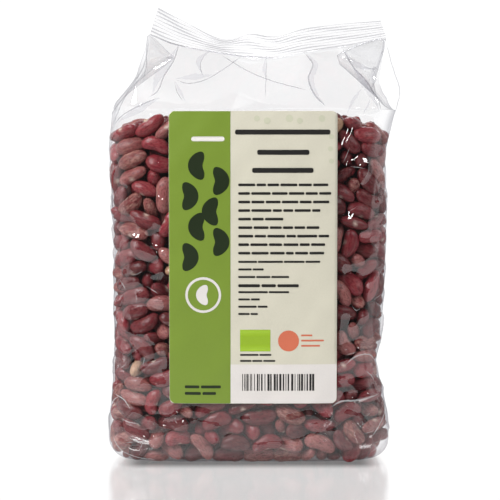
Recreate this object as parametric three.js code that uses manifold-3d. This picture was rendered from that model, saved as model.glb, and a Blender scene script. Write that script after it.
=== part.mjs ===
// A clear side-gusset bag of dried kidney beans, standing on its own flat base: tight and bumpy over
// the beans, empty and creased above them, closed by a ribbed heat seal, with a paper label in front.
// Millimetres. +X is to the right, +Y to the back and +Z up. The origin is the middle of the footprint.
import * as THREE from "three";
import { mergeVertices } from "three/addons/utils/BufferGeometryUtils.js";
import Module from "manifold-3d";

const wasm = await Module();
wasm.setup();

// Filled part of the bag
const BODY_TOP = 184; // where the panels start to lean towards the seal
const FILL_TOP = 179; // top of the highest row of beans
const BASE_ROUND = 12; // how far the bottom edge turns under
const CORNER_POWER = 4; // superellipse power of a section: 2 is an oval, more is squarer

// Height, then how far the film reaches from the middle to the left, right, front and back
const REACH = [
  [0, 75.4, 74.0, 29.2, 28.4],
  [18, 75.2, 73.6, 30.6, 29.8],
  [34, 73.6, 71.6, 31.0, 30.2],
  [48, 73.0, 67.6, 31.0, 30.0],
  [66, 72.4, 69.4, 30.6, 29.6],
  [92, 72.6, 71.2, 30.2, 29.2],
  [132, 73.2, 72.4, 29.6, 28.4],
  [166, 74.4, 72.6, 28.6, 26.8],
  [BODY_TOP, 71.2, 76.2, 27.4, 24.4],
];

// Empty film above the beans
const GUSSET_TUCK = 23; // how far in the side folds go at the seal
const EAR_REACH = 3.5; // how far the right corner stands out just above the beans
const EAR_SHARE = 0.2; // where it does, from 0 at the body's top to 1 at the seal
const NOTCH_CLOSING = 6; // how fast the notch between the side folds closes just below the seal
const END_INSET = 1; // how far inside the seal's ends the film below it stays
const FILM_HALF_GAP = 1.3; // half the thickness of the closed film where it meets the seal
const FOLD_COUNT = 5; // upright folds across each panel
const FOLD_DEPTH = 1.3;
const FILM_LEAVES = 172; // height where the tight film leaves the crests of the highest beans
const FILM_LEAVES_DEPTH = 1.2; // and how far it is below those crests there
const HEADER_ROOT = 2; // how far the empty film's solid reaches into the filled part

// Heat seal: its lower and upper edges from left to right
const SEAL_LOWER_EDGE = [
  [-52.4, -6, 223.1],
  [-38.5, 0, 217.9],
  [-18.4, 6, 214],
  [-4.4, 4, 212],
  [11.5, -2, 211.1],
  [26.8, -4, 214],
  [46.7, 0, 216.9],
  [71.8, 5, 221.6],
];
const SEAL_UPPER_EDGE = [
  [-48, -4, 236.9],
  [-31.5, 4, 228.6],
  [-14.7, 12, 220.8],
  [0.3, 9, 223.6],
  [13.1, 4, 222.1],
  [26.6, 2, 225.6],
  [43, 4, 228.4],
  [69.1, 9, 230.6],
];
const SEAL_RIBS = 6;
const SEAL_HALF_THICKNESS = 0.5;
const RIB_HEIGHT = 0.4;
const SEAL_STEPS = 14;
const SEAL_ROOT = 0.12; // share of the strip's height that is sunk in the film below it

// Beans that show through the film, laid round the bag in rows like bricks in a wall
const BEAN_LENGTH = 15.8;
const BEAN_WIDTH = 9.2;
const BEAN_BEND = 0.3; // how far a bean's ends turn to one side, as a share of its half width
const BEAN_SPIN = 0.4; // most that a bean is turned from lying level, in radians
const BEAN_SIZE_SPREAD = 0.08;
const BEANS_ROUND = 20;
const BEAN_ROWS = 15;
const BEAN_SEED = 25;
const VALLEY_DEPTH = 4; // of the gaps between beans
const VALLEY_WANDER = 1.7; // how far the gaps stray from an even pattern
const BEAN_STEPS = [ // a bean's size and its depth below the film, from its outline to its crest
  { size: 1, depth: 2.1 },
  { size: 0.66, depth: 0 },
];

// Paper label on the front
const LABEL_LEFT = -41.5;
const LABEL_RIGHT = 44.7;
const LABEL_BOTTOM = 33.3;
const LABEL_TOP = 183.6;
const LABEL_CORNER = 2.8;
const LABEL_THICKNESS = 0.35;
const LABEL_GAP = 0.3; // between the film and the label's back

// How finely the surfaces are divided
const LABEL_STEPS = { side: 2, front: 14, level: 22 };
const HEADER_STEPS = { side: 3, front: 15 };
const HEADER_SHARES = [0.1, 0.2, 0.4, 0.6, 0.8, 1];
const WALK_STEPS = 240;
const BEAN_CORNERS = 6;
const JOIN_TOLERANCE = 0.03; // edges shorter than this are closed up where solids are joined

const reachAt = new THREE.CubicInterpolant(
  REACH.map((row) => row[0]),
  REACH.flatMap((row) => row.slice(1)),
  4,
);
const sealLower = curveThrough(SEAL_LOWER_EDGE);
const sealUpper = curveThrough(SEAL_UPPER_EDGE);

function curveThrough(points) {
  return new THREE.CatmullRomCurve3(points.map((p) => new THREE.Vector3(...p)));
}

// A seeded random number from -1 to 1
function randomFrom(seed) {
  let state = seed;
  return () => {
    state = (state * 48271) % 2147483647;
    return (2 * state) / 2147483647 - 1;
  };
}

// One step round a section of the bag, x and y from -1 to 1, from the left middle by the front and
// back again. Points k and length - k have the same x, one in front and one at the back.
function unitOutline({ side, front: steps }) {
  const left = Array.from({ length: side }, (_, k) => [-1, -k / side]);
  const across = Array.from({ length: steps + 1 }, (_, k) => [(2 * k) / steps - 1, -1]);
  const right = left.map(([x, y]) => [-x, y]).reverse();
  const front = [...left, ...across, ...right];
  const back = front.slice(1, -1).reverse();
  return [...front, ...back.map(([x, y]) => [x, -y])];
}

// A point of the filled bag's surface at one height, moved outwards by outset
function bodyPoint(x, y, z, outset) {
  const [left, right, front, back] = reachAt.evaluate(z);
  const above = Math.max(BASE_ROUND - z, 0);
  const turnedUnder = BASE_ROUND - Math.sqrt(BASE_ROUND ** 2 - above ** 2);
  const rounding = (Math.abs(x) ** CORNER_POWER + Math.abs(y) ** CORNER_POWER) ** (-1 / CORNER_POWER);
  return new THREE.Vector3(
    x * rounding * ((x < 0 ? left : right) + outset - turnedUnder),
    y * rounding * ((y < 0 ? front : back) + outset - turnedUnder),
    z,
  );
}

// A point of the empty film above the beans: share is 0 at the body's top and 1 at the seal
function headerPoint(x, y, share) {
  const panel = Math.abs(y);
  const tuck = GUSSET_TUCK * Math.min(1, NOTCH_CLOSING * (1 - share));
  const inwards = END_INSET + tuck - (tuck + END_INSET / 2) * panel ** 2;
  const along = (x + 1) / 2 - (Math.sign(x) * Math.abs(x) ** 4 * inwards) / sealLower.getLength();
  const end = sealLower.getPoint(THREE.MathUtils.clamp(along, 0, 1));
  end.y += y * FILM_HALF_GAP;
  const point = bodyPoint(x, y, BODY_TOP, 0).lerp(end, share);
  const swell = Math.sin(Math.PI * share);
  point.y += FOLD_DEPTH * swell * panel * Math.cos(FOLD_COUNT * Math.PI * x);
  const ear = Math.max(0, 1 - Math.abs(share - EAR_SHARE) / EAR_SHARE);
  point.x += EAR_REACH * ear * panel * Math.max(0, x) ** 6;
  return point;
}

// A closed surface through rings of points, whose first and last rings are filled in strips
function loft(rings) {
  const around = rings[0].length;
  const index = [];
  for (let r = 0; r + 1 < rings.length; r++) {
    for (let k = 0; k < around; k++) {
      const a = r * around + k;
      const b = r * around + ((k + 1) % around);
      index.push(a, b, b + around, a, b + around, a + around);
    }
  }
  const last = (rings.length - 1) * around;
  for (let k = 0; k < around / 2; k++) {
    const [a, b, c, d] = [k, k + 1, around - k - 1, (around - k) % around];
    if (a !== d) {
      index.push(a, d, b);
      index.push(last + a, last + b, last + d);
    }
    if (b !== c) {
      index.push(b, d, c);
      index.push(last + b, last + c, last + d);
    }
  }
  return geometryFrom(rings.flat(), index);
}

function geometryFrom(points, index) {
  const geometry = new THREE.BufferGeometry();
  const numbers = points.flatMap((p) => [p.x, p.y, p.z]);
  geometry.setAttribute("position", new THREE.Float32BufferAttribute(numbers, 3));
  geometry.setIndex(index);
  return geometry;
}

function solid(geometry) {
  geometry.deleteAttribute("normal");
  geometry.deleteAttribute("uv");
  const merged = mergeVertices(geometry, 1e-4);
  return new wasm.Manifold(
    new wasm.Mesh({
      numProp: 3,
      vertProperties: new Float32Array(merged.attributes.position.array),
      triVerts: new Uint32Array(merged.index.array),
      tolerance: JOIN_TOLERANCE,
    }),
  );
}

function geometryOf(manifold) {
  const mesh = manifold.getMesh();
  const geometry = new THREE.BufferGeometry();
  geometry.setAttribute("position", new THREE.BufferAttribute(mesh.vertProperties, 3));
  geometry.setIndex(new THREE.BufferAttribute(mesh.triVerts, 1));
  geometry.computeVertexNormals();
  return geometry;
}

// The filled part up to one height, moved outwards by outset
function bodyLoft(outset, top, steps) {
  const outline = unitOutline(steps);
  const count = Math.round((top - BASE_ROUND) / steps.level);
  const levels = [0, 0.08, 0.3, 0.6].map((share) => share * BASE_ROUND);
  for (let i = 0; i <= count; i++) {
    levels.push(THREE.MathUtils.lerp(BASE_ROUND, top, i / count));
  }
  return loft(levels.map((z) => outline.map(([x, y]) => bodyPoint(x, y, z, outset))));
}

// The empty film, which starts inside the filled part
function headerLoft() {
  const outline = unitOutline(HEADER_STEPS);
  const ring = (z, depth) => outline.map(([x, y]) => bodyPoint(x, y, z, -depth));
  const root = ring(FILM_LEAVES - HEADER_ROOT, VALLEY_DEPTH + HEADER_ROOT);
  const tight = ring(FILM_LEAVES, FILM_LEAVES_DEPTH);
  const shoulder = ring(BODY_TOP, 0);
  const empty = HEADER_SHARES.map((share) => outline.map(([x, y]) => headerPoint(x, y, share)));
  return loft([root, tight, shoulder, ...empty]);
}

// The seal: two layers of film pressed together, with ribs that run along it on both sides
function sealStrip() {
  const rings = [];
  const count = 2 * SEAL_RIBS + 1;
  const outs = Array.from({ length: count }, (_, j) => SEAL_HALF_THICKNESS + (j % 2) * RIB_HEIGHT);
  for (let i = 0; i <= SEAL_STEPS; i++) {
    const low = sealLower.getPoint(i / SEAL_STEPS);
    const high = sealUpper.getPoint(i / SEAL_STEPS);
    const along = sealLower.getTangent(i / SEAL_STEPS);
    const upwards = new THREE.Vector3().subVectors(high, low);
    const towardsBack = new THREE.Vector3().crossVectors(upwards, along).normalize();
    const place = (out, j) => {
      const share = THREE.MathUtils.lerp(-SEAL_ROOT, 1, j / (outs.length - 1));
      return low.clone().addScaledVector(upwards, share).addScaledVector(towardsBack, out);
    };
    const front = outs.map((out, j) => place(-out, j));
    const back = outs.map((out, j) => place(out, j));
    rings.push([...back, ...front.reverse()]);
  }
  return rings;
}

// A walk round the bag from the left middle by the front, where equal shares are equal distances
function walkRound() {
  const angles = Array.from({ length: WALK_STEPS }, (_, k) => Math.PI + (2 * Math.PI * k) / WALK_STEPS);
  const points = angles.map((angle) => bodyPoint(Math.cos(angle), Math.sin(angle), BODY_TOP / 2, 0));
  return new THREE.CatmullRomCurve3(points, true);
}
const walk = walkRound();
const walkLength = walk.getLength();

// The point a share of the way round, at height z and at a depth below the film
function wallPoint(share, z, depth) {
  const [left, right, front, back] = reachAt.evaluate(BODY_TOP / 2);
  const on = walk.getPointAt(((share % 1) + 1) % 1);
  return bodyPoint(on.x / (on.x < 0 ? left : right), on.y / (on.y < 0 ? front : back), z, -depth);
}

// Whether any of these points of the wall lies behind the label
function meetsLabel(points) {
  const box = new THREE.Box3().setFromPoints(points);
  const beside = box.max.x < LABEL_LEFT || box.min.x > LABEL_RIGHT;
  const beyond = box.max.z < LABEL_BOTTOM || box.min.z > LABEL_TOP;
  return box.max.y < 0 && !beside && !beyond;
}

// The corners round one bean: three below it and three above it, as row and step round the bag
function cornersRound(row, i) {
  const first = 2 * i + (row % 2);
  const below = [0, 1, 2].map((k) => [row, (first + k) % (2 * BEANS_ROUND)]);
  const above = [2, 1, 0].map((k) => [row + 1, (first + k) % (2 * BEANS_ROUND)]);
  return [...below, ...above];
}

// The filled part: a wall of beans with gaps between them, smooth behind the label, and a flat base
function filledSolid() {
  const random = randomFrom(BEAN_SEED);
  const steps = 2 * BEANS_ROUND;
  const rowHeight = FILL_TOP / BEAN_ROWS;
  const points = [];
  const index = [];
  const add = (point) => points.push(point) - 1;

  const gaps = [];
  for (let row = 0; row <= BEAN_ROWS; row++) {
    const inside = row > 0 && row < BEAN_ROWS;
    for (let j = 0; j < steps; j++) {
      const share = j / steps + (VALLEY_WANDER * random()) / walkLength;
      const z = row * rowHeight + (inside ? VALLEY_WANDER * random() : 0);
      gaps.push({ share, z, smooth: false });
    }
  }
  const cells = [];
  for (let row = 0; row < BEAN_ROWS; row++) {
    for (let i = 0; i < BEANS_ROUND; i++) {
      const corners = cornersRound(row, i).map(([r, j]) => r * steps + j);
      const smooth = meetsLabel(corners.map((c) => wallPoint(gaps[c].share, gaps[c].z, 0)));
      if (smooth) corners.forEach((c) => (gaps[c].smooth = true));
      const share = (2 * i + 1 + (row % 2)) / steps;
      cells.push({ corners, smooth, share, z: (row + 0.5) * rowHeight });
    }
  }
  gaps.forEach((gap) => add(wallPoint(gap.share, gap.z, gap.smooth ? 0 : VALLEY_DEPTH)));

  for (const cell of cells) {
    const spin = BEAN_SPIN * random();
    const grown = 1 + BEAN_SIZE_SPREAD * random();
    const bend = BEAN_BEND * Math.sign(random());
    let ring = cell.corners;
    const inner = cell.smooth ? [] : BEAN_STEPS;
    for (const { size, depth } of inner) {
      const next = [];
      for (let k = 0; k < BEAN_CORNERS; k++) {
        const angle = Math.PI + (2 * Math.PI * k) / BEAN_CORNERS;
        const u = (Math.cos(angle) * size * grown * BEAN_LENGTH) / 2;
        const curl = bend * (Math.cos(angle) ** 2 - 0.5);
        const v = ((Math.sin(angle) * size + curl) * grown * BEAN_WIDTH) / 2;
        const sideways = u * Math.cos(spin) - v * Math.sin(spin);
        const upwards = u * Math.sin(spin) + v * Math.cos(spin);
        next.push(add(wallPoint(cell.share + sideways / walkLength, cell.z + upwards, depth)));
      }
      for (let k = 0; k < BEAN_CORNERS; k++) {
        const after = (k + 1) % BEAN_CORNERS;
        index.push(ring[k], next[after], next[k], ring[k], ring[after], next[after]);
      }
      ring = next;
    }
    index.push(ring[0], ring[1], ring[5], ring[1], ring[4], ring[5]);
    index.push(ring[1], ring[2], ring[4], ring[2], ring[3], ring[4]);
  }

  const top = BEAN_ROWS * steps;
  for (let k = 1; k + 1 < steps; k++) {
    index.push(0, k + 1, k);
    index.push(top, top + k, top + k + 1);
  }
  return solid(geometryFrom(points, index));
}

// A solid without the small hollows that its joined pieces close in
function outerShell(joined) {
  const shells = joined.decompose();
  return shells.reduce((largest, shell) => (shell.volume() > largest.volume() ? shell : largest));
}

function bagSolid() {
  const joined = filledSolid().add(solid(headerLoft())).add(solid(loft(sealStrip())));
  return outerShell(joined);
}

function labelSolid() {
  const outline = new THREE.Shape();
  const [left, right, low, high, r] = [LABEL_LEFT, LABEL_RIGHT, LABEL_BOTTOM, LABEL_TOP, LABEL_CORNER];
  outline.absarc(right - r, high - r, r, 0, Math.PI / 2);
  outline.absarc(left + r, high - r, r, Math.PI / 2, Math.PI);
  outline.absarc(left + r, low + r, r, Math.PI, 1.5 * Math.PI);
  outline.absarc(right - r, low + r, r, 1.5 * Math.PI, 2 * Math.PI);
  const through = { depth: BODY_TOP, bevelEnabled: false, curveSegments: 3 };
  const stamp = new THREE.ExtrudeGeometry(outline, through);
  stamp.rotateX(Math.PI / 2);
  const outer = solid(bodyLoft(LABEL_GAP + LABEL_THICKNESS, BODY_TOP, LABEL_STEPS));
  const inner = solid(bodyLoft(LABEL_GAP, BODY_TOP, LABEL_STEPS));
  return outer.subtract(inner).intersect(solid(stamp));
}

function namedMesh(name, shape, color, roughness) {
  const material = new THREE.MeshStandardMaterial({ color, roughness, metalness: 0 });
  const mesh = new THREE.Mesh(geometryOf(shape), material);
  mesh.name = name;
  return mesh;
}

const bag = new THREE.Group();
bag.add(namedMesh("bag", bagSolid(), 0x7a4644, 0.3));
bag.add(namedMesh("label", labelSolid(), 0xddd6c4, 0.5));

// The footprint's middle becomes the origin
const whole = new THREE.Box3().setFromObject(bag);
const middle = whole.getCenter(new THREE.Vector3());
bag.position.set(-middle.x, -middle.y, -whole.min.z);

export default bag;
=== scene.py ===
# A clear bag of dried kidney beans: real beans packed in a bag of thin film, which is tight over them,
# empty and creased above them and closed by a ribbed seal, with a printed paper label on the front.
# Sizes are in millimetres until a mesh is made. +X is to the right, +Y to the back and +Z up.
import math

import bpy
import numpy as np
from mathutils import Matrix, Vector


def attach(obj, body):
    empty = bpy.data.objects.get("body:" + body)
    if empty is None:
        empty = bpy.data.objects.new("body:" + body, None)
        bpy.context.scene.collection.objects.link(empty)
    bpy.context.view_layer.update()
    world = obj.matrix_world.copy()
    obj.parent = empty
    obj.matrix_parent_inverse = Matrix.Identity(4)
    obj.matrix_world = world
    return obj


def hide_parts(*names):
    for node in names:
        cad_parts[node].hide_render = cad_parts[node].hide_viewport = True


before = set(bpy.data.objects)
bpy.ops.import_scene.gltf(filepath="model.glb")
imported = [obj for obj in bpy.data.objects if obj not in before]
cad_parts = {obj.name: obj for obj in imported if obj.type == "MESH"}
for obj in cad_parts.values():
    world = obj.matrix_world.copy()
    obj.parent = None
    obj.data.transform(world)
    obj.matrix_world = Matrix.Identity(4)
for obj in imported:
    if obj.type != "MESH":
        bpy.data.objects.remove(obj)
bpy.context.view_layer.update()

MM = 0.001
MIDDLE = np.array([0.44, -0.73, 0.0])  # of the footprint, which the model has at its origin

# Filled part of the bag: height, then how far the film reaches to the left, right, front and back
BODY_TOP = 184.0
BASE_ROUND = 12.0
CORNER_POWER = 4.0
REACH = np.array([
    [0, 75.4, 74.0, 29.2, 28.4],
    [18, 75.2, 73.6, 30.6, 29.8],
    [34, 73.6, 71.6, 31.0, 30.2],
    [48, 73.0, 67.6, 31.0, 30.0],
    [66, 72.4, 69.4, 30.6, 29.6],
    [92, 72.6, 71.2, 30.2, 29.2],
    [132, 73.2, 72.4, 29.6, 28.4],
    [166, 74.4, 72.6, 28.6, 26.8],
    [BODY_TOP, 71.2, 76.2, 27.4, 24.4],
])

# Empty film above the beans
GUSSET_TUCK = 23.0
NOTCH_CLOSING = 6.0
EAR_REACH = 3.5
EAR_SHARE = 0.2
FILM_HALF_GAP = 0.35

# Heat seal: its lower and upper edges from left to right
SEAL_LOWER_EDGE = np.array([
    [-52.4, -6, 223.1],
    [-38.5, 0, 217.9],
    [-18.4, 6, 214],
    [-4.4, 4, 212],
    [11.5, -2, 211.1],
    [26.8, -4, 214],
    [46.7, 0, 216.9],
    [71.8, 5, 221.6],
])
SEAL_UPPER_EDGE = np.array([
    [-48, -4, 236.9],
    [-31.5, 4, 228.6],
    [-14.7, 12, 220.8],
    [0.3, 9, 223.6],
    [13.1, 4, 222.1],
    [26.6, 2, 225.6],
    [43, 4, 228.4],
    [69.1, 9, 230.6],
])
SEAL_RIBS = 8
SEAL_COLUMNS = 220
SEAL_HALF_THICKNESS = 0.12
RIB_HEIGHT = 0.55
RIB_WIDTH = 0.2  # as a share of the distance from rib to rib
RIB_ROWS = 10
RIB_LINE = 0.32  # about half the width of the grey line of painted shade on a rib
RIB_LINE_LIFT = 0.25
SEAL_HEIGHT = 11.0

# Beans
BEAN_LENGTH = 16.6
BEAN_WIDTH = 9.0
BEAN_THICKNESS = 7.5
BEAN_VOLUME = 560.0
PACKING = 0.63
HEAP_TOP = 181.0
HEAP_SLOPE = 9.0  # how much lower the heap is at its left and right ends
ROD_HALF = 4.3  # from a bean's middle to the centres of the balls that stand for its ends
BALL_RADIUS = 4.05
WALL_RADIUS = 4.25
SIZE_SPREAD = 0.07
SIZE_LIMITS = (0.84, 1.16)
LIE = (1.0, 0.8, 0.62)  # how much beans lie along X, Y and Z
PACKING_STEPS = 170
NEIGHBOUR_STEPS = 6  # the pairs that may touch are looked up once in so many steps
NEIGHBOUR_REACH = 19.0
PUSH_LIMIT = 3.0
HIT_WEIGHT = 0.45
PUSH_SHARE = 1.5
SHELL_DEPTH = 15.0  # beans deeper than this aren't seen
NEAR_DEPTH = 7.5  # beans nearer than this have the finer mesh and are kept off the film
FINE_MESH = (20, 15)  # points round a bean and along it
COARSE_MESH = (12, 9)
BEAN_CLEARANCE = 0.15  # between the beans and the film's own surface
BASE_CLEARANCE = 0.3
CORE_INSET = 11.0
CORE_RIPPLE = 2.2
CORE_COLUMNS = 72
CORE_ROWS = 30
# Colours of the dark heap inside the beans: painted shade, darker than any bean, for the deep gaps between
# the beans
CORE_SHADE_DEEP = (0.03, 0.006, 0.006, 1)
CORE_SHADE_PALE = (0.07, 0.014, 0.013, 1)
SEED = 7

# Film over the beans
FILM_STEP = 1.2
STRETCH_REACH = 14.0  # how far off a bean still lifts the film
FILM_SPAN_RADIUS = 40.0  # how tightly the film can curve inwards between beans
FLAT_SPAN_RADIUS = 600.0  # and near the base, where it is stretched flat
FLAT_FILM_TOP = 36.0
PATCHES = 330
PATCH_STRETCH = 2.4  # how much longer a patch is than it is high
PATCH_LEAN = 0.12
LOOSE_SHARE = 0.6  # of the patches near the base
FILM_LIFT = 0.15
BASE_LIFT = 0.1
FOOT_INSET = -0.2
FOOT_REFLECTION_TOP = (18.0, 32.0)  # heights where the painted reflection of the floor at the foot starts to fade, and has gone
GRAZING_MIRROR = 0.25  # how much more the film mirrors where it is seen flat
FACE_TINT = (0.985, 0.985, 0.988, 1)
EDGE_TINT = (0.62, 0.62, 0.65, 1)
FILM_MILK_AND_REFLECTION = (0.93, 0.88, 0.88, 1)
# White of the strips: painted highlight on the creases, a faint milkiness on the folds and bands
CREASE_WHITE = (0.95, 0.95, 0.96, 1)
RIBBON_LIFT = 0.15
GLINT_WIDTH = (0.2, 0.4)
GLINT_SLANT = 0.8
CRUMPLE_SHARE = 0.55
LARGE_CRUMPLE = (17.0, 0.13)  # size of the cells and their slope
SMALL_CRUMPLE = (12.0, 0.10)
EMPTY_FILM_STEP = 0.8
EMPTY_FILM_HEIGHT = 44.0  # measured along it

# Paper label
LABEL_LEFT = -41.5
LABEL_RIGHT = 44.7
LABEL_BOTTOM = 33.3
LABEL_TOP = 183.6
LABEL_CORNER = 2.8
LABEL_OUTSET = 0.55
LABEL_THICKNESS = 0.3
PAPER_ROUGHNESS = 0.42
INK_LIFT = 0.06
BAND_EDGE = -10.0  # where the green band ends and the cream field begins
STRIP_TOP = 53.8  # of the white strip under the cream field
CREAM = (0.61, 0.583, 0.475)
WHITE = (0.695, 0.66, 0.63)
FAINT = (0.54, 0.54, 0.41)
GREEN = (0.172, 0.260, 0.027)
DARK_GREEN = (0.008, 0.018, 0.002)
LEAF_GREEN = (0.27, 0.42, 0.018)
ORANGE = (0.59, 0.15, 0.08)
BLACK = (0.012, 0.011, 0.010)

# Floor
FLOOR_HALF_WIDTH = 2500.0
FLOOR_FRONT = -400.0
FLOOR_BACK = 2500.0
FLOOR_DROP = 0.2
FLOOR_GLOW = 1.03
FLOOR_GLOSS = 0.4
FLOOR_TINT = (1, 0.965, 0.96, 1)
FLOOR_ROUGHNESS = 0.16
GLOSS_REACH = (150.0, 370.0)  # how far from the bag the floor starts to lose its gloss, and has none
GLOSS_HALF = (88.0, 150.0)  # and how far to the left and right
SHADED_HALF = (56.0, 20.0)  # half width and half depth of the darkest floor, under the bag
SHADE_REACH = 16.0
SHADE_GLOW = 0.3
REAR_FLOOR = (30.0, 150.0)  # from here to here the floor behind the bag turns matt
REAR_GLOW = 0.4  # and this bright where it is mirrored

# Room
ROOM_DARK = (0.035, 0.035, 0.037, 1)
ROOM_WHITE = (1.08, 1.08, 1.08, 1)

# Lamps: name, place, width and height, and watts
LAMPS = (
    ("key", (-560, -440, 640), (300, 220), 9.0),
    ("fill", (640, -430, 560), (240, 240), 2.6),
    ("top", (0, 760, 800), (600, 240), 4.0),
    ("glint_left", (-400, -760, 400), (50, 110), 0.35),
    ("glint_right", (440, -760, 300), (40, 90), 0.2),
)
LAMP_AIM = (0.0, 0.0, 100.0)

# View
CAMERA_DISTANCE = 900.0
CAMERA_ELEVATION = 5.0
CAMERA_AIM = (0.0, 0.0, 110.0)
MM_PER_PIXEL = 0.53
FRAME_PIXELS = 500
SENSOR = 36.0

rng = np.random.default_rng(SEED)


# Curves and surfaces

def smooth_curve(keys, values, at):
    """A smooth curve through the values at the keys, for an array of places."""
    slopes = np.gradient(values, keys, axis=0)
    at = np.clip(at, keys[0], keys[-1])
    i = np.clip(np.searchsorted(keys, at, side="right") - 1, 0, len(keys) - 2)
    step = (keys[i + 1] - keys[i])[..., None]
    t = ((at - keys[i]) / (keys[i + 1] - keys[i]))[..., None]
    start, end = values[i], values[i + 1]
    return (
        (2 * t**3 - 3 * t**2 + 1) * start
        + (t**3 - 2 * t**2 + t) * step * slopes[i]
        + (3 * t**2 - 2 * t**3) * end
        + (t**3 - t**2) * step * slopes[i + 1]
    )


def reach_at(z):
    """How far the film reaches to the left, right, front and back at heights z."""
    reach = smooth_curve(REACH[:, 0], REACH[:, 1:], z)
    above = np.clip(BASE_ROUND - z, 0, BASE_ROUND)
    turned_under = BASE_ROUND - np.sqrt(BASE_ROUND**2 - above**2)
    return reach - turned_under[..., None]


def sides(x, y, z, depth=0.0):
    """The half width and half depth that hold for the quarter of the bag that x and y are in."""
    reach = reach_at(z)
    width = np.where(x < 0, reach[..., 0], reach[..., 1]) - depth
    thick = np.where(y < 0, reach[..., 2], reach[..., 3]) - depth
    return width, thick


def body_point(x, y, z, depth):
    """Points of the filled bag's wall in the directions x and y, a depth inside the film."""
    width, thick = sides(x, y, z, depth)
    rounding = (np.abs(x) ** CORNER_POWER + np.abs(y) ** CORNER_POWER) ** (-1 / CORNER_POWER)
    return np.stack([x * rounding * width, y * rounding * thick, z + 0 * x], axis=-1)


def make_walk():
    """Angles and shares of the way round at mid height, from the left middle by the front."""
    angle = math.pi + np.linspace(0, 2 * math.pi, 2001)
    points = body_point(np.cos(angle), np.sin(angle), np.full(angle.shape, BODY_TOP / 2), 0.0)
    steps = np.linalg.norm(np.diff(points[:, :2], axis=0), axis=1)
    travelled = np.concatenate([[0], np.cumsum(steps)])
    width, thick = sides(points[:, 0], points[:, 1], points[:, 2])
    facing = np.unwrap(np.arctan2(points[:, 1] / thick, points[:, 0] / width))
    return facing, travelled / travelled[-1], travelled[-1]


WALK_ANGLES, WALK_SHARES, WALK_LENGTH = make_walk()


def direction_at(share):
    angle = np.interp(share % 1.0, WALK_SHARES, WALK_ANGLES)
    return np.cos(angle), np.sin(angle)


def wall_point(share, z, depth):
    x, y = direction_at(share)
    return body_point(x, y, z, depth)


def share_and_depth(points):
    """Where points lie on the wall: their share of the way round and their depth inside the film."""
    x, y, z = points.T
    low = np.full(x.shape, -3.0)
    high = np.full(x.shape, 24.0)
    for _ in range(22):
        depth = (low + high) / 2
        width, thick = sides(x, y, z, depth)
        outside = (np.abs(x) / width) ** CORNER_POWER + (np.abs(y) / thick) ** CORNER_POWER > 1
        high = np.where(outside, depth, high)
        low = np.where(outside, low, depth)
    width, thick = sides(x, y, z, low)
    angle = np.arctan2(y / thick, x / width)
    turn = (angle - WALK_ANGLES[0]) % (2 * math.pi) + WALK_ANGLES[0]
    return np.interp(turn, WALK_ANGLES, WALK_SHARES), low


def front_point(x, z, outset):
    """Points of the bag's front at x and z, a distance outside the film."""
    width, thick = sides(x, np.full_like(x, -1.0), z, -outset)
    y = -thick * (1 - np.clip(np.abs(x) / width, 0, 1) ** CORNER_POWER) ** (1 / CORNER_POWER)
    return np.stack([x, y, z], axis=-1)


def edge_curve(corners, share):
    return smooth_curve(np.linspace(0, 1, len(corners)), corners, share)


def unit(vectors):
    return vectors / np.maximum(np.linalg.norm(vectors, axis=-1, keepdims=True), 1e-9)


def soften(height):
    """Heights averaged with their neighbours along both axes."""
    for axis in (0, 1):
        height = (np.roll(height, 1, axis) + 2 * height + np.roll(height, -1, axis)) / 4
    return height


# Meshes and materials

def make_object(name, points, faces, material):
    """A mesh object from points in millimetres and faces of any one size."""
    mesh = bpy.data.meshes.new(name)
    points = (np.reshape(points, (-1, 3)) - MIDDLE) * MM
    faces = np.asarray(faces)
    mesh.vertices.add(len(points))
    mesh.vertices.foreach_set("co", points.astype(np.float32).ravel())
    mesh.loops.add(faces.size)
    mesh.loops.foreach_set("vertex_index", faces.astype(np.int32).ravel())
    mesh.polygons.add(len(faces))
    mesh.polygons.foreach_set("loop_start", np.arange(len(faces), dtype=np.int32) * faces.shape[1])
    mesh.polygons.foreach_set("use_smooth", np.ones(len(faces), bool))
    mesh.update(calc_edges=True)
    mesh.validate()
    mesh.materials.append(material)
    thing = bpy.data.objects.new(name, mesh)
    bpy.context.scene.collection.objects.link(thing)
    return thing


def joined(parts):
    """Meshes of points and faces made one."""
    starts = np.cumsum([0] + [len(points) for points, _ in parts])
    faces = [faces + start for (_, faces), start in zip(parts, starts)]
    return np.concatenate([points for points, _ in parts]), np.concatenate(faces)


def grid_faces(rows, columns, closed=False):
    """Quads between the points of a grid, which joins up sideways if it is closed."""
    across = columns if closed else columns - 1
    r, c = np.meshgrid(np.arange(rows - 1), np.arange(across), indexing="ij")
    a = r * columns + c
    b = r * columns + (c + 1) % columns
    return np.stack([a, b, b + columns, a + columns], axis=-1).reshape(-1, 4)


def new_material(name):
    material = bpy.data.materials.new(name)
    material.use_nodes = True
    material.node_tree.nodes.clear()
    return material, material.node_tree


def feed(tree, socket, value):
    """Links a socket to the output that is given, or sets it to the value."""
    if isinstance(value, bpy.types.NodeSocket):
        tree.links.new(value, socket)
    else:
        socket.default_value = value


def add_node(tree, kind, **inputs):
    node = tree.nodes.new(kind)
    for key, value in inputs.items():
        feed(tree, node.inputs[key.replace("_", " ")], value)
    return node


def add_math(tree, operation, *values):
    node = tree.nodes.new("ShaderNodeMath")
    node.operation = operation
    for socket, value in zip(node.inputs, values):
        feed(tree, socket, value)
    return node.outputs[0]


def add_mix(tree, factor, first, second):
    node = tree.nodes.new("ShaderNodeMix")
    node.data_type = "RGBA"
    for name, value in (("Factor", factor), ("A", first), ("B", second)):
        feed(tree, next(s for s in node.inputs if s.name == name and s.enabled), value)
    return next(s for s in node.outputs if s.enabled)


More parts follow.
